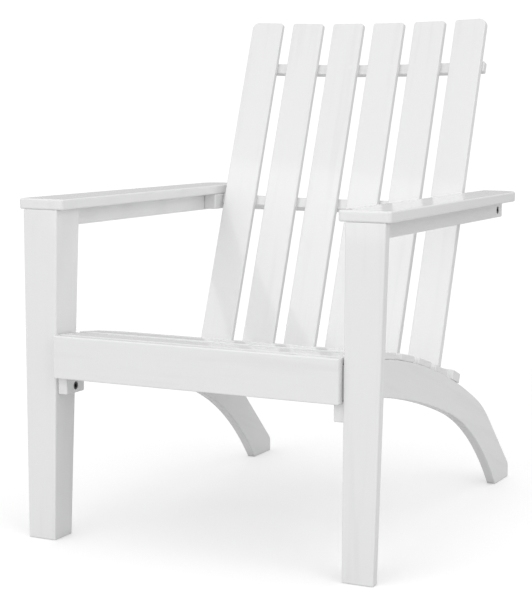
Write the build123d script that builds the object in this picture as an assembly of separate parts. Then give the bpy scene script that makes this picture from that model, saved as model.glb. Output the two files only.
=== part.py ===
"""Adirondack garden chair in painted boards, built as separate wooden pieces and fasteners.

Millimetres, +Z up, the sitter looks along -Y. While a piece is drawn, y = 0 is the front face of
the front legs at arm height and z = 0 is the floor. Every piece is then moved back by the same
amount, so the origin ends up at the middle of the footprint.
"""

import math
import os

from build123d import *

# Board stock and eased edges
BOARD = 18.0
SEAT_SLAT_THICK = 11.5
BACK_SLAT_THICK = 13.0
SLAT_WIDTH = 64.0
EASE = 2.0
FIT_GAP = 0.05

# Overall placing
FRONT_Y = -17.0
REAR_Y = 814.0
CENTRE_Y = (FRONT_Y + REAR_Y) / 2

# Front legs: an L of two boards, slightly tapered
LEG_HEIGHT = 567.0
LEG_INNER_TOP = 263.0
LEG_INNER_FOOT = 267.5
LEG_OUTER_TOP = 330.6
LEG_OUTER_FOOT = 320.8
LEG_FRONT_FOOT = -8.7
LEG_REAR_TOP = 69.5
LEG_REAR_FOOT = 43.7

# Armrests and the rails and blocks under them
ARM_PLAN = [(250.6, -1.2), (338.9, -1.2), (330.9, 670.0), (259.4, 670.0)]
ARM_REAR_RADIUS = 34.0
ARM_FRONT_RADIUS = 6.0
ARM_RAIL_INNER = 281.5
ARM_RAIL_HEIGHT = 30.7
ARM_RAIL_REAR = 664.0
ARM_BLOCK_INNER = 257.0
ARM_BLOCK_FRONT = 554.0
ARM_BLOCK_HEIGHT = 29.0

# Apron and heel blocks
APRON_HALF = 262.3
APRON_BOTTOM = 283.9
APRON_TOP = 356.5
APRON_REAR = FRONT_Y + BOARD
HEEL_INNER = 246.7
HEEL_OUTER = 265.2
HEEL_REAR = 55.0
HEEL_BOTTOM = 253.6

# Arched side rails: each edge is a chain of arcs, given by slope angles in degrees and radii
RAIL_SPLAY = 0.9
RAIL_PIVOT = (264.75, 58.0)
UPPER_START = (APRON_REAR, 345.2)
UPPER_ANGLES = (2.0, 26.1, 42.4)
UPPER_RADII = (1517.0, 318.0)
LOWER_START = (APRON_REAR, 288.2)
LOWER_ANGLES = (5.3, 18.55, 50.2)
LOWER_RADII = (2036.0, 606.0)
FOOT_REAR_RADIUS = 18.0

# Seat slats: slope of the rail under each slat, front to back
SEAT_ANGLES = (2.95, 5.85, 8.82, 12.09, 15.38, 18.66)
SEAT_HALF = 267.0
FIRST_SLAT_WIDTH = 48.0
FIRST_SLAT_HALF = 262.0

# Back: six slats on a hollow curve, leaning back, and the three rails behind them
RECLINE = 19.857
BACK_ORIGIN = (0.0, 502.6, 318.0)
BACK_RADIUS = 2000.0
BACK_PITCH = 86.15
BACK_COUNT = 6
BACK_TOP = 624.6
BACK_BOTTOM = -71.3
BACK_OUTER_CORNER = 14.0
BACK_CORNER = 5.0
RAIL_CLEARANCE = SLAT_WIDTH**2 / 8 / BACK_RADIUS + FIT_GAP
LOWER_RAIL_HALF = 271.0
LOWER_RAIL_REAR = 45.0
LOWER_RAIL_CLIP = 5.8
ARM_BACK_RAIL_BOTTOM = 245.0
ARM_BACK_RAIL_HEIGHT = 20.0
ARM_BACK_RAIL_REAR = 38.0
UPPER_RAIL_BOTTOM = 522.0
UPPER_RAIL_HEIGHT = 20.5
UPPER_RAIL_DEPTH = 16.0
UPPER_RAIL_HALF = 251.5

# Fasteners
SCREW_LENGTH = 23.0
SCREW_RADIUS = 2.0
SCREW_HEAD_RADIUS = 4.0
SCREW_HEAD_DEPTH = 2.6
PLUG_RADIUS = 4.6
PLUG_DEPTH = 3.0
SCREW_SPREAD = 18.0
BOLT_RADIUS = 3.0
BOLT_HEAD_RADIUS = 6.5
BOLT_HEAD_DEPTH = 6.0
BOLT_SOCKET = 6.0
BOLT_RECESS_RADIUS = 7.2
BOLT_RECESS_DEPTH = 6.8
BOLT_REACH = 33.0
INSERT_RADIUS = 5.0
INSERT_LENGTH = 12.0
DOWEL_RADIUS = 4.0


def block(low, high):
    """Plain box between two opposite corners."""
    size = [b - a for a, b in zip(low, high)]
    middle = [(a + b) / 2 for a, b in zip(low, high)]
    return Pos(*middle) * Box(*size)


def tapered(foot, top, height):
    """Straight-sided board between a rectangle on the floor and one at the given height."""
    rings = []
    for (x0, x1, y0, y1), z in ((foot, 0.0), (top, height)):
        rings.append([(x0, y0, z), (x1, y0, z), (x1, y1, z), (x0, y1, z)])
    low, high = rings
    loops = [low[::-1], high]
    for k in range(4):
        n = (k + 1) % 4
        loops.append([low[k], low[n], high[n], high[k]])
    faces = [Face(Wire.make_polygon([Vector(*p) for p in loop])) for loop in loops]
    return Part() + Solid(Shell(faces))


def ease(board, radius=EASE, sharp=()):
    """Round every edge of a board a little, as sanding and paint leave it, except the sharp ones."""
    return fillet([edge for edge in board.edges() if edge not in sharp], radius)


def arc_chain(start, angles, radii):
    """Arcs that bend downwards towards the rear, each starting where the last one ends."""
    arcs = []
    y, z = start
    for first, last, radius in zip(angles, angles[1:], radii):
        a, b = math.radians(first), math.radians(last)
        centre = (y - radius * math.sin(a), z - radius * math.cos(a))
        points = []
        for angle in (a, (a + b) / 2, b):
            points.append((centre[0] + radius * math.sin(angle), centre[1] + radius * math.cos(angle)))
        arcs.append(ThreePointArc(*points))
        y, z = points[-1]
    return arcs, (y, z)


def arc_height(start, angle, radius, y):
    """Height at y of an arc that leaves its start at this slope angle."""
    a = math.radians(angle)
    rise = math.sqrt(radius * radius - (y - start[0] + radius * math.sin(a)) ** 2)
    return start[1] - radius * math.cos(a) + rise


def rail_profile():
    """Side view of an arched rail, from the apron to the foot, as a face in the YZ plane."""
    upper, (yu, zu) = arc_chain(UPPER_START, UPPER_ANGLES, UPPER_RADII)
    lower, (yl, zl) = arc_chain(LOWER_START, LOWER_ANGLES, LOWER_RADII)
    slope = math.tan(math.radians(UPPER_ANGLES[-1]))
    rear_top = (REAR_Y, zu - slope * (REAR_Y - yu))
    foot_front = (yl + zl / math.tan(math.radians(LOWER_ANGLES[-1])), 0.0)
    edges = upper + lower
    edges.append(Line((yu, zu), rear_top))
    edges.append(Line(rear_top, (REAR_Y, 0.0)))
    edges.append(Line((REAR_Y, 0.0), foot_front))
    edges.append(Line(foot_front, (yl, zl)))
    edges.append(Line(UPPER_START, LOWER_START))
    face = make_face(edges)
    corner = face.vertices().sort_by_distance((*rear_top, 0.0))[0]
    return fillet(corner, FOOT_REAR_RADIUS)


def rail_slab():
    """Upright slab, one board thick, that the right side rail is trimmed to."""
    x, y = RAIL_PIVOT
    slab = block((-BOARD, -400.0, -50.0), (0.0, 1000.0, 500.0))
    return Pos(x, y, 0) * Rot(0, 0, -RAIL_SPLAY) * slab


def rail_outer(y):
    """X of the outer face of the right side rail at a given depth."""
    return RAIL_PIVOT[0] + (y - RAIL_PIVOT[1]) * math.tan(math.radians(RAIL_SPLAY))


def seat_plane(angle):
    """Plane lying on the rails' upper edge where it slopes by this angle; its y runs rearwards."""
    a = math.radians(angle)
    start = math.radians(UPPER_ANGLES[0])
    radius = UPPER_RADII[0]
    y = UPPER_START[0] + radius * (math.sin(a) - math.sin(start))
    z = UPPER_START[1] + radius * (math.cos(a) - math.cos(start))
    normal = (0, math.sin(a), math.cos(a))
    lifted = (0, y + normal[1] * FIT_GAP, z + normal[2] * FIT_GAP)
    return Plane(origin=lifted, x_dir=(1, 0, 0), z_dir=normal)


def back_plane(along=0.0):
    """Plane across the back slats: x sideways, y to the rear, and the slats run along its z."""
    r = math.radians(RECLINE)
    x, y, z = BACK_ORIGIN
    up = (0, math.sin(r), math.cos(r))
    origin = (x, y + along * up[1], z + along * up[2])
    return Plane(origin=origin, x_dir=(1, 0, 0), z_dir=up)


def hollow(x, depth=0.0):
    """Where the hollow curve of the back is at x, at this depth behind the slats' front faces."""
    radius = BACK_RADIUS + depth
    return math.sqrt(radius * radius - x * x) - BACK_RADIUS


def screw():
    """Countersunk wood screw pointing down, its head's top face at z = 0."""
    head = Pos(0, 0, -SCREW_HEAD_DEPTH / 2) * Cone(SCREW_RADIUS, SCREW_HEAD_RADIUS, SCREW_HEAD_DEPTH)
    shank_length = SCREW_LENGTH - SCREW_HEAD_DEPTH - SCREW_RADIUS
    shank = Pos(0, 0, -SCREW_HEAD_DEPTH - shank_length / 2) * Cylinder(SCREW_RADIUS, shank_length)
    tip = Pos(0, 0, -SCREW_LENGTH + SCREW_RADIUS / 2) * Cone(0.4, SCREW_RADIUS, SCREW_RADIUS)
    return head + shank + tip


def plug():
    """Filler plug over a screw head, its painted face at z = 0."""
    return Pos(0, 0, -PLUG_DEPTH / 2) * Cylinder(PLUG_RADIUS, PLUG_DEPTH)


def bolt():
    """Socket-head bolt pointing down, the mouth of its recess at z = 0."""
    top = BOLT_HEAD_DEPTH - BOLT_RECESS_DEPTH
    head = Pos(0, 0, top - BOLT_HEAD_DEPTH / 2) * Cylinder(BOLT_HEAD_RADIUS, BOLT_HEAD_DEPTH)
    head = fillet(head.edges().group_by(Axis.Z)[-1], 0.6)
    socket = extrude(RegularPolygon(BOLT_SOCKET / 2, 6, major_radius=False), BOLT_HEAD_DEPTH)
    shank_length = BOLT_REACH - BOLT_RECESS_DEPTH
    shank = Pos(0, 0, -BOLT_RECESS_DEPTH - shank_length / 2) * Cylinder(BOLT_RADIUS, shank_length)
    return head - Pos(0, 0, top - 3.0) * socket + shank


def bolt_recess():
    """Counterbore that a bolt head sits in."""
    return Pos(0, 0, -BOLT_RECESS_DEPTH / 2) * Cylinder(BOLT_RECESS_RADIUS, BOLT_RECESS_DEPTH)


def threaded_insert():
    """Sleeve that the end of a bolt threads into, without the bolt's hole."""
    return Pos(0, 0, INSERT_LENGTH / 2 - BOLT_REACH) * Cylinder(INSERT_RADIUS, INSERT_LENGTH)


def dowel(start, end):
    """Round peg between two points."""
    line = Vector(*end) - Vector(*start)
    base = Plane(origin=start, z_dir=line)
    return base * (Pos(0, 0, line.length / 2) * Cylinder(DOWEL_RADIUS, line.length))


def mirrored(shape):
    """The same piece on the other side of the chair."""
    return mirror(shape, about=Plane.YZ)


def both(shapes):
    """A list of pieces with their mirror images added."""
    return shapes + [mirrored(shape) for shape in shapes]


def drill(board, tools):
    """Cut every tool that reaches the board out of it."""
    box = board.bounding_box()
    for tool in tools:
        other = tool.bounding_box()
        apart = (
            other.min.X > box.max.X
            or other.max.X < box.min.X
            or other.min.Y > box.max.Y
            or other.max.Y < box.min.Y
            or other.min.Z > box.max.Z
            or other.max.Z < box.min.Z
        )
        if not apart:
            board = board - tool
    return board


# --- right-hand pieces of the frame -------------------------------------------------------------
# The two boards of a leg are glued and sanded flush, so their edges along the joint stay sharp.
front_board = tapered(
    (LEG_INNER_FOOT, LEG_OUTER_FOOT, LEG_FRONT_FOOT, LEG_FRONT_FOOT + BOARD),
    (LEG_INNER_TOP, LEG_OUTER_TOP, 0.0, BOARD),
    LEG_HEIGHT,
)
joint = front_board.edges().sort_by_distance((LEG_INNER_TOP, BOARD, LEG_HEIGHT / 2))[:1]
front_board = ease(front_board, sharp=joint)
side_board = tapered(
    (LEG_INNER_FOOT, LEG_INNER_FOOT + BOARD, LEG_FRONT_FOOT + BOARD, LEG_REAR_FOOT),
    (LEG_INNER_TOP, LEG_INNER_TOP + BOARD, BOARD, LEG_REAR_TOP),
    LEG_HEIGHT,
)
side_board = ease(side_board, sharp=side_board.faces().sort_by(Axis.Y)[0].edges())

arm_outline = make_face(Polyline(*ARM_PLAN, close=True))
arm_corners = arm_outline.vertices().sort_by(Axis.Y)
arm_outline = fillet(arm_corners[-2:].sort_by(Axis.X)[-1], ARM_REAR_RADIUS)
arm_outline = fillet(arm_outline.vertices().group_by(Axis.Y)[0], ARM_FRONT_RADIUS)
armrest = ease(Pos(0, 0, LEG_HEIGHT) * extrude(arm_outline, BOARD), 3.0)

arm_rail = ease(
    block(
        (ARM_RAIL_INNER, BOARD, LEG_HEIGHT - ARM_RAIL_HEIGHT),
        (ARM_RAIL_INNER + BOARD, ARM_RAIL_REAR, LEG_HEIGHT),
    )
)
arm_block = ease(
    block(
        (ARM_BLOCK_INNER, ARM_BLOCK_FRONT, LEG_HEIGHT - ARM_BLOCK_HEIGHT),
        (ARM_RAIL_INNER, ARM_RAIL_REAR, LEG_HEIGHT),
    )
)

wide_rail = Pos(200.0, 0, 0) * (Plane.YZ * extrude(rail_profile(), 120.0))
side_rail = ease(wide_rail & rail_slab())
heel_face = make_face(
    Polyline(
        (APRON_REAR, HEEL_BOTTOM),
        (HEEL_REAR, HEEL_BOTTOM),
        (HEEL_REAR, arc_height(LOWER_START, LOWER_ANGLES[0], LOWER_RADII[0], HEEL_REAR)),
        LOWER_START,
        close=True,
    )
)
heel_block = ease(Pos(HEEL_INNER, 0, 0) * (Plane.YZ * extrude(heel_face, HEEL_OUTER - HEEL_INNER)))
apron = ease(block((-APRON_HALF, FRONT_Y, APRON_BOTTOM), (APRON_HALF, APRON_REAR, APRON_TOP)))

# --- seat and back slats ------------------------------------------------------------------------
seat_slats = []
slat_screws = []
slat_plugs = []
for index, angle in enumerate(SEAT_ANGLES):
    plane = seat_plane(angle)
    first = index == 0
    width = FIRST_SLAT_WIDTH if first else SLAT_WIDTH
    half = FIRST_SLAT_HALF if first else SEAT_HALF
    spread = width / 4 if first else SCREW_SPREAD
    slat = block((-half, -width / 2, 0), (half, width / 2, SEAT_SLAT_THICK))
    seat_slats.append(plane * ease(slat))
    for along in (-spread, spread):
        x = rail_outer(plane.origin.Y + along) - BOARD / 2
        for side in (-x, x):
            slat_plugs.append(plane * Pos(side, along, SEAT_SLAT_THICK) * plug())
            slat_screws.append(plane * Pos(side, along, SEAT_SLAT_THICK - PLUG_DEPTH) * screw())

back_slats = []
back_rail_levels = (
    (BACK_BOTTOM + BACK_BOTTOM + BOARD) / 2,
    ARM_BACK_RAIL_BOTTOM + ARM_BACK_RAIL_HEIGHT / 2,
    UPPER_RAIL_BOTTOM + UPPER_RAIL_HEIGHT / 2,
)
for index in range(BACK_COUNT):
    x = (index - (BACK_COUNT - 1) / 2) * BACK_PITCH
    turn = -math.degrees(math.asin(x / BACK_RADIUS))
    stand = back_plane() * Pos(x, hollow(x), 0) * Rot(0, 0, turn)
    face = Pos(0, (BACK_TOP + BACK_BOTTOM) / 2) * Rectangle(SLAT_WIDTH, BACK_TOP - BACK_BOTTOM)
    for side, last in ((-1, 0), (1, BACK_COUNT - 1)):
        radius = BACK_OUTER_CORNER if index == last else BACK_CORNER
        corner = face.vertices().sort_by_distance((side * SLAT_WIDTH / 2, BACK_TOP, 0))[0]
        face = fillet(corner, radius)
    slat = Rot(90, 0, 0) * extrude(face, -BACK_SLAT_THICK)
    back_slats.append(stand * ease(slat))
    front = stand * Rot(90, 0, 0)
    for level in back_rail_levels:
        for across in (-SCREW_SPREAD, SCREW_SPREAD):
            slat_plugs.append(front * Pos(across, level, 0) * plug())
            slat_screws.append(front * Pos(across, level, -PLUG_DEPTH) * screw())


def curved_rail(half, rear, bottom, height, clip=None):
    """Rail behind the back slats: hollow front edge, straight rear edge at the given depth."""
    depth = BACK_SLAT_THICK + RAIL_CLEARANCE
    contact = half if clip is None else 2.5 * BACK_PITCH + SLAT_WIDTH / 2
    ends = [(contact, hollow(contact, depth))]
    if clip is not None:
        ends.append((half, clip))
    edges = [ThreePointArc((-ends[0][0], ends[0][1]), (0, depth), ends[0])]
    right = ends + [(half, rear)]
    for first, last in zip(right, right[1:]):
        edges.append(Line(first, last))
        edges.append(Line((-first[0], first[1]), (-last[0], last[1])))
    edges.append(Line((-half, rear), (half, rear)))
    return ease(back_plane(bottom) * extrude(make_face(edges), height))


lower_back_rail = curved_rail(LOWER_RAIL_HALF, LOWER_RAIL_REAR, BACK_BOTTOM, BOARD, LOWER_RAIL_CLIP)
arm_back_rail = curved_rail(
    ARM_BLOCK_INNER, ARM_BACK_RAIL_REAR, ARM_BACK_RAIL_BOTTOM, ARM_BACK_RAIL_HEIGHT
)

upper_depth = BACK_SLAT_THICK + RAIL_CLEARANCE
inner_end = (UPPER_RAIL_HALF, hollow(UPPER_RAIL_HALF, upper_depth))
outer_end = (UPPER_RAIL_HALF, hollow(UPPER_RAIL_HALF, upper_depth + UPPER_RAIL_DEPTH))
upper_face = make_face(
    [
        ThreePointArc((-inner_end[0], inner_end[1]), (0, upper_depth), inner_end),
        ThreePointArc((-outer_end[0], outer_end[1]), (0, upper_depth + UPPER_RAIL_DEPTH), outer_end),
        Line(inner_end, outer_end),
        Line((-inner_end[0], inner_end[1]), (-outer_end[0], outer_end[1])),
    ]
)
upper_back_rail = ease(back_plane(UPPER_RAIL_BOTTOM) * extrude(upper_face, UPPER_RAIL_HEIGHT))

# --- bolts, inserts and dowels ------------------------------------------------------------------
bolt_y = 29.0
bolt_places = [
    Pos(HEEL_INNER, bolt_y, 266.0) * Rot(0, -90, 0),
    Pos(rail_outer(bolt_y) - BOARD, bolt_y, 315.0) * Rot(0, -90, 0),
    Pos(ARM_RAIL_INNER + BOARD, 638.0, 550.0) * Rot(0, 90, 0),
]
bolts = both([place * bolt() for place in bolt_places])
recesses = both([place * bolt_recess() for place in bolt_places])
solid_inserts = both([place * threaded_insert() for place in bolt_places])
inserts = [insert - drilled for insert, drilled in zip(solid_inserts, bolts)]

arm_dowels = []
for x, y in ((300.0, 9.0), (273.5, 48.0), (290.5, 150.0), (290.5, 380.0), (290.5, 605.0)):
    arm_dowels.append(dowel((x, y, LEG_HEIGHT - 18.0), (x, y, LEG_HEIGHT + 10.0)))
arm_dowels = both(arm_dowels)

apron_dowels = []
for z in (298.0, 314.0):
    x = rail_outer(APRON_REAR) - BOARD / 2
    apron_dowels.append(dowel((x, APRON_REAR - 10.0, z), (x, APRON_REAR + 16.0, z)))
apron_dowels = both(apron_dowels)

back_rail_dowels = []
peg = back_plane(BACK_BOTTOM) * Pos(rail_outer(500.0) - BOARD / 2, 24.0, 0)
back_rail_dowels.append(peg * (Pos(0, 0, -4.0) * Cylinder(DOWEL_RADIUS, 30.0)))
for depth in (8.0, 27.0):
    peg = back_plane(ARM_BACK_RAIL_BOTTOM + ARM_BACK_RAIL_HEIGHT / 2) * Pos(ARM_BLOCK_INNER - 2.0, depth, 0)
    back_rail_dowels.append(peg * Rot(0, 90, 0) * Cylinder(DOWEL_RADIUS, 30.0))
back_rail_dowels = both(back_rail_dowels)

tools = recesses + bolts + solid_inserts + arm_dowels + apron_dowels + back_rail_dowels
tools = tools + slat_screws + slat_plugs

# --- every node, moved so that the origin is under the middle of the chair ------------------------
paired = {
    "front_leg": front_board,
    "leg_side_board": side_board,
    "armrest": armrest,
    "arm_rail": arm_rail,
    "arm_block": arm_block,
    "side_rail": side_rail,
    "heel_block": heel_block,
}
nodes = {}
for name, piece in paired.items():
    nodes[name + "_right"] = drill(piece, tools)
    nodes[name + "_left"] = drill(mirrored(piece), tools)
nodes["apron"] = drill(apron, tools)
for number, slat in enumerate(seat_slats, start=1):
    nodes[f"seat_slat_{number}"] = drill(slat, tools)
for number, slat in enumerate(back_slats, start=1):
    nodes[f"back_slat_{number}"] = drill(slat, tools)
nodes["back_rail_lower"] = drill(lower_back_rail, tools)
nodes["back_rail_arm"] = drill(arm_back_rail, tools)
nodes["back_rail_upper"] = drill(upper_back_rail, tools)

groups = {
    "frame_bolts": bolts,
    "threaded_inserts": inserts,
    "arm_dowels": arm_dowels,
    "apron_dowels": apron_dowels,
    "back_rail_dowels": back_rail_dowels,
    "slat_screws": slat_screws,
    "slat_plugs": slat_plugs,
}
for name, pieces in groups.items():
    nodes[name] = Compound([piece.solids()[0] for piece in pieces])

os.makedirs("parts", exist_ok=True)
for name, shape in nodes.items():
    export_step(Pos(0, -CENTRE_Y, 0) * shape, f"parts/{name}.step")
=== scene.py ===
"""Looks for the painted adirondack chair: paint, steel, pale studio floor, soft light and camera."""

import math

import bpy
from mathutils import Matrix, Vector

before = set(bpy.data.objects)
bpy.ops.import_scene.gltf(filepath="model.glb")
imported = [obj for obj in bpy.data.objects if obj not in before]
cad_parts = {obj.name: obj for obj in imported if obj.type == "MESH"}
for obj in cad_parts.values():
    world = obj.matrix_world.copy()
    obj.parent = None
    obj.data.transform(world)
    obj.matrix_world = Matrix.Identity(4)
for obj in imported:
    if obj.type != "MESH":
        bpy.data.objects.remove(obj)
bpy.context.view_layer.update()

# Driving values, in metres, degrees, watts and linear colour
CAMERA_PLACE = (1.2312, -2.6396, 0.7447)
CAMERA_YAW = 26.191
CAMERA_PITCH = -6.992
CAMERA_ROLL = 0.308
CAMERA_LENS = 95.65
PAINT = (0.84, 0.842, 0.844)
PAINT_WARM = (0.81, 0.81, 0.806)
PAINT_GRIME = (0.63, 0.63, 0.625)
COAT_WEIGHT = 1.0
COAT_ROUGHNESS = 0.06
PAINT_ROUGHNESS = (0.30, 0.46)
PAINT_BUMP = 0.34
PAINT_BUMP_DEPTH = 0.0004
STREAK_STRENGTH = 0.14
KNOT_STRENGTH = 0.16
SPECK_STRENGTH = 0.3
GRAIN_STRETCH = 0.06
STEEL = (0.12, 0.12, 0.125)
STEEL_SPOTS = (0.07, 0.065, 0.06)
BARE_WOOD = (0.62, 0.44, 0.26)
WOOD_FLECKS = (0.45, 0.29, 0.15)
BACK_RECLINE = 19.857
ARCH_LEAN = 20.0
FLOOR_REACH = 3.4
FLOOR_PALE = 0.86
FLOOR_GLOW = 0.23
FLOOR_BOUNCE = 0.66
FLOOR_FADE = (1.1, 3.2)
SKY_LIGHT = 0.61
SKY_LEAN = (-0.04, -0.04, 0.38)
SKY_SEEN = 1.05
LIGHT_TARGET = (0.0, 0.0, 0.45)
LIGHTS = (
    ("key", (-1.2, -4.4, 1.9), 43.0, 3.4),
    ("side", (3.3, -1.6, 2.1), 27.0, 3.0),
    ("top", (0.9, -0.2, 4.2), 4.0, 3.0),
)


def new_material(name):
    """Empty node material with its output node."""
    material = bpy.data.materials.new(name)
    material.use_nodes = True
    tree = material.node_tree
    tree.nodes.clear()
    return material, tree, tree.nodes.new("ShaderNodeOutputMaterial")


def add(tree, kind, inputs=None, **settings):
    """Add a node, set its options, then fill or link its inputs."""
    node = tree.nodes.new(kind)
    for key, value in settings.items():
        setattr(node, key, value)
    for key, value in (inputs or {}).items():
        if isinstance(value, bpy.types.NodeSocket):
            tree.links.new(value, node.inputs[key])
        else:
            node.inputs[key].default_value = value
    return node


def math_node(tree, operation, first, second):
    """One arithmetic step."""
    return add(tree, "ShaderNodeMath", {0: first, 1: second}, operation=operation).outputs[0]


def noise(tree, vector, scale, detail=2.0):
    """Noise value between 0 and 1."""
    settings = {"Vector": vector, "Scale": scale, "Detail": detail}
    return add(tree, "ShaderNodeTexNoise", settings).outputs["Fac"]


def fade(tree, factor, low, high):
    """0 below low, 1 above high, smooth between."""
    settings = {"Value": factor, "From Min": low, "From Max": high}
    return add(tree, "ShaderNodeMapRange", settings, interpolation_type="SMOOTHSTEP").outputs["Result"]


def blend(tree, factor, first, second):
    """Mix two colours."""
    mix = add(tree, "ShaderNodeMix", data_type="RGBA")
    colour_inputs = [socket for socket in mix.inputs if socket.type == "RGBA"]
    for socket, value in ((mix.inputs[0], factor), (colour_inputs[0], first), (colour_inputs[1], second)):
        if isinstance(value, bpy.types.NodeSocket):
            tree.links.new(value, socket)
        else:
            socket.default_value = value
    return [socket for socket in mix.outputs if socket.type == "RGBA"][0]


def painted_board(name, lean=0.0, along="Z"):
    """White semi-gloss paint on planed boards; the wood grain below it runs along one axis."""
    material, tree, output = new_material(name)
    place = add(tree, "ShaderNodeTexCoord").outputs["Object"]
    turn = (math.radians(lean), 0.0, 0.0)
    upright = add(tree, "ShaderNodeMapping", {"Vector": place, "Rotation": turn}).outputs["Vector"]
    stretch = [GRAIN_STRETCH if axis == along else 1.0 for axis in "XYZ"]
    board = add(tree, "ShaderNodeMapping", {"Vector": upright, "Scale": stretch}).outputs["Vector"]

    grain = noise(tree, board, 330.0, 2.0)
    figure = noise(tree, board, 60.0, 3.0)
    brush = noise(tree, board, 1000.0, 1.0)
    peel = noise(tree, place, 900.0, 1.0)
    cloud = noise(tree, place, 4.5, 3.0)

    # Knots that ghost through the paint here and there
    cells = add(tree, "ShaderNodeTexVoronoi", {"Vector": upright, "Scale": 6.5})
    split = add(tree, "ShaderNodeSeparateColor", {"Color": cells.outputs["Color"]}).outputs["Red"]
    near = math_node(tree, "SUBTRACT", 1.0, fade(tree, cells.outputs["Distance"], 0.02, 0.075))
    knot = math_node(tree, "MULTIPLY", near, fade(tree, split, 0.70, 0.74))

    # Small dings and dust specks
    specks = add(tree, "ShaderNodeTexVoronoi", {"Vector": place, "Scale": 38.0})
    chance = add(tree, "ShaderNodeSeparateColor", {"Color": specks.outputs["Color"]}).outputs["Green"]
    dot = math_node(tree, "SUBTRACT", 1.0, fade(tree, specks.outputs["Distance"], 0.02, 0.055))
    speck = math_node(tree, "MULTIPLY", dot, fade(tree, chance, 0.93, 0.95))

    base = blend(tree, math_node(tree, "MULTIPLY", cloud, 0.5), (*PAINT, 1.0), (*PAINT_WARM, 1.0))
    streak = math_node(tree, "MULTIPLY", fade(tree, figure, 0.50, 0.74), STREAK_STRENGTH)
    base = blend(tree, streak, base, (*PAINT_GRIME, 1.0))
    knot_marks = math_node(tree, "MULTIPLY", knot, KNOT_STRENGTH)
    speck_marks = math_node(tree, "MULTIPLY", speck, SPECK_STRENGTH)
    marks = math_node(tree, "ADD", knot_marks, speck_marks)
    base = blend(tree, marks, base, (*PAINT_GRIME, 1.0))

    settings = {"Value": figure, "To Min": PAINT_ROUGHNESS[0], "To Max": PAINT_ROUGHNESS[1]}
    gloss = add(tree, "ShaderNodeMapRange", settings).outputs["Result"]
    height = math_node(tree, "MULTIPLY", grain, 0.55)
    height = math_node(tree, "ADD", height, math_node(tree, "MULTIPLY", figure, 0.8))
    height = math_node(tree, "ADD", height, math_node(tree, "MULTIPLY", brush, 0.08))
    height = math_node(tree, "ADD", height, math_node(tree, "MULTIPLY", peel, 0.05))
    height = math_node(tree, "SUBTRACT", height, math_node(tree, "MULTIPLY", speck, 0.8))
    settings = {"Height": height, "Strength": PAINT_BUMP, "Distance": PAINT_BUMP_DEPTH}
    bump = add(tree, "ShaderNodeBump", settings)
    settings = {
        "Base Color": base,
        "Roughness": gloss,
        "IOR": 1.5,
        "Coat Weight": COAT_WEIGHT,
        "Coat Roughness": COAT_ROUGHNESS,
    }
    surface = add(tree, "ShaderNodeBsdfPrincipled", settings)
    tree.links.new(bump.outputs["Normal"], surface.inputs["Normal"])
    tree.links.new(surface.outputs[0], output.inputs["Surface"])
    return material


def plated_steel():
    """Dark, dull plated steel with a fine uneven finish and a few darker spots."""
    material, tree, output = new_material("zinc_steel")
    place = add(tree, "ShaderNodeTexCoord").outputs["Object"]
    fine = noise(tree, place, 1500.0, 2.0)
    spots = fade(tree, noise(tree, place, 260.0, 3.0), 0.5, 0.7)
    base = blend(tree, spots, (*STEEL, 1.0), (*STEEL_SPOTS, 1.0))
    rough = add(tree, "ShaderNodeMapRange", {"Value": fine, "To Min": 0.30, "To Max": 0.5}).outputs["Result"]
    bump = add(tree, "ShaderNodeBump", {"Height": fine, "Strength": 0.2, "Distance": 0.0002})
    settings = {"Base Color": base, "Roughness": rough, "Metallic": 1.0}
    surface = add(tree, "ShaderNodeBsdfPrincipled", settings)
    tree.links.new(bump.outputs["Normal"], surface.inputs["Normal"])
    tree.links.new(surface.outputs[0], output.inputs["Surface"])
    return material


def bare_wood():
    """Plain beech for the dowels inside the joints."""
    material, tree, output = new_material("bare_wood")
    place = add(tree, "ShaderNodeTexCoord").outputs["Object"]
    flecks = fade(tree, noise(tree, place, 700.0, 3.0), 0.4, 0.65)
    base = blend(tree, flecks, (*BARE_WOOD, 1.0), (*WOOD_FLECKS, 1.0))
    bump = add(tree, "ShaderNodeBump", {"Height": flecks, "Strength": 0.3, "Distance": 0.0003})
    surface = add(tree, "ShaderNodeBsdfPrincipled", {"Base Color": base, "Roughness": 0.6})
    tree.links.new(bump.outputs["Normal"], surface.inputs["Normal"])
    tree.links.new(surface.outputs[0], output.inputs["Surface"])
    return material


def studio_floor():
    """Pale floor that thins out into the white background, and throws less light back than it shows."""
    material, tree, output = new_material("studio_floor")
    place = add(tree, "ShaderNodeTexCoord").outputs["Object"]
    distance = add(tree, "ShaderNodeVectorMath", {0: place}, operation="LENGTH").outputs["Value"]
    gone = fade(tree, distance, FLOOR_FADE[0], FLOOR_FADE[1])
    pale = add(tree, "ShaderNodeBsdfDiffuse", {"Color": (FLOOR_PALE, FLOOR_PALE, FLOOR_PALE, 1.0)})
    glow = add(tree, "ShaderNodeEmission", {"Color": (1.0, 1.0, 1.0, 1.0), "Strength": FLOOR_GLOW})
    lit = add(tree, "ShaderNodeAddShader", {0: pale.outputs[0], 1: glow.outputs[0]})
    dim = add(tree, "ShaderNodeBsdfDiffuse", {"Color": (FLOOR_BOUNCE, FLOOR_BOUNCE, FLOOR_BOUNCE, 1.0)})
    seen = add(tree, "ShaderNodeLightPath").outputs["Is Camera Ray"]
    solid = add(tree, "ShaderNodeMixShader", {0: seen, 1: dim.outputs[0], 2: lit.outputs[0]})
    clear = tree.nodes.new("ShaderNodeBsdfTransparent")
    surface = add(tree, "ShaderNodeMixShader", {0: gone, 1: solid.outputs[0], 2: clear.outputs[0]})
    tree.links.new(surface.outputs[0], output.inputs["Surface"])
    return material


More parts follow.
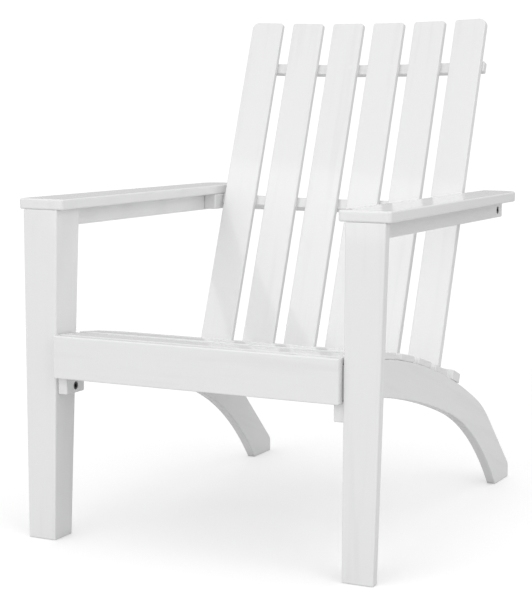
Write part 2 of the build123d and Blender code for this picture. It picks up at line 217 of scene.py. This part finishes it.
# Paint on every board, with the grain along the board
upright_paint = painted_board("paint_upright")
back_paint = painted_board("paint_back", lean=BACK_RECLINE)
cross_paint = painted_board("paint_cross", along="X")
deep_paint = painted_board("paint_deep", along="Y")
arch_paint = painted_board("paint_arch", lean=ARCH_LEAN, along="Y")
steel = plated_steel()
wood = bare_wood()
finishes = {
    "front_leg": upright_paint,
    "leg_side": upright_paint,
    "back_slat": back_paint,
    "seat_slat": cross_paint,
    "apron": cross_paint,
    "back_rail": cross_paint,
    "armrest": deep_paint,
    "arm_rail": deep_paint,
    "arm_block": deep_paint,
    "heel_block": deep_paint,
    "side_rail": arch_paint,
    "slat_plugs": cross_paint,
    "slat_screws": steel,
    "frame_bolts": steel,
    "threaded_inserts": steel,
    "arm_dowels": wood,
    "apron_dowels": wood,
    "back_rail_dowels": wood,
}
for name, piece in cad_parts.items():
    starts = [start for start in finishes if name.startswith(start)]
    finish = finishes[max(starts, key=len)]
    for slot in piece.material_slots:
        slot.material = finish

# Floor
floor_mesh = bpy.data.meshes.new("floor")
corners = [(x * FLOOR_REACH, y * FLOOR_REACH, 0.0) for x, y in ((-1, -1), (1, -1), (1, 1), (-1, 1))]
floor_mesh.from_pydata(corners, [], [(0, 1, 2, 3)])
floor = bpy.data.objects.new("floor", floor_mesh)
floor.data.materials.append(studio_floor())
bpy.context.scene.collection.objects.link(floor)

# Soft light: a big key from the front left, a side light from the right, a faint one from above,
# and a sky that is brighter overhead
for name, place, power, size in LIGHTS:
    lamp = bpy.data.lights.new(name, "AREA")
    lamp.energy = power
    lamp.size = size
    holder = bpy.data.objects.new(name, lamp)
    holder.location = place
    aim = Vector(LIGHT_TARGET) - Vector(place)
    holder.rotation_euler = aim.to_track_quat("-Z", "Y").to_euler()
    bpy.context.scene.collection.objects.link(holder)

world = bpy.data.worlds.new("studio")
world.use_nodes = True
tree = world.node_tree
tree.nodes.clear()
seen = add(tree, "ShaderNodeLightPath").outputs["Is Camera Ray"]
direction = add(tree, "ShaderNodeTexCoord").outputs["Generated"]
dot = add(tree, "ShaderNodeVectorMath", {0: direction, 1: SKY_LEAN}, operation="DOT_PRODUCT")
lean = dot.outputs["Value"]
level = math_node(tree, "ADD", lean, SKY_LIGHT)
settings = {"Value": seen, "To Min": level, "To Max": SKY_SEEN}
strength = add(tree, "ShaderNodeMapRange", settings).outputs["Result"]
sky = add(tree, "ShaderNodeBackground", {"Color": (1.0, 1.0, 1.0, 1.0), "Strength": strength})
world_output = tree.nodes.new("ShaderNodeOutputWorld")
tree.links.new(sky.outputs[0], world_output.inputs["Surface"])
bpy.context.scene.world = world
bpy.context.scene.view_settings.view_transform = "Standard"
bpy.context.scene.view_settings.look = "None"

# Camera
yaw = Matrix.Rotation(math.radians(CAMERA_YAW), 4, "Z")
pitch = Matrix.Rotation(math.radians(90.0 + CAMERA_PITCH), 4, "X")
roll = Matrix.Rotation(math.radians(CAMERA_ROLL), 4, "Z")
camera_data = bpy.data.cameras.new("camera")
camera_data.lens = CAMERA_LENS
camera_data.sensor_width = 36.0
camera = bpy.data.objects.new("camera", camera_data)
camera.matrix_world = Matrix.Translation(CAMERA_PLACE) @ yaw @ pitch @ roll
bpy.context.scene.collection.objects.link(camera)
bpy.context.scene.camera = camera

bpy.context.view_layer.update()
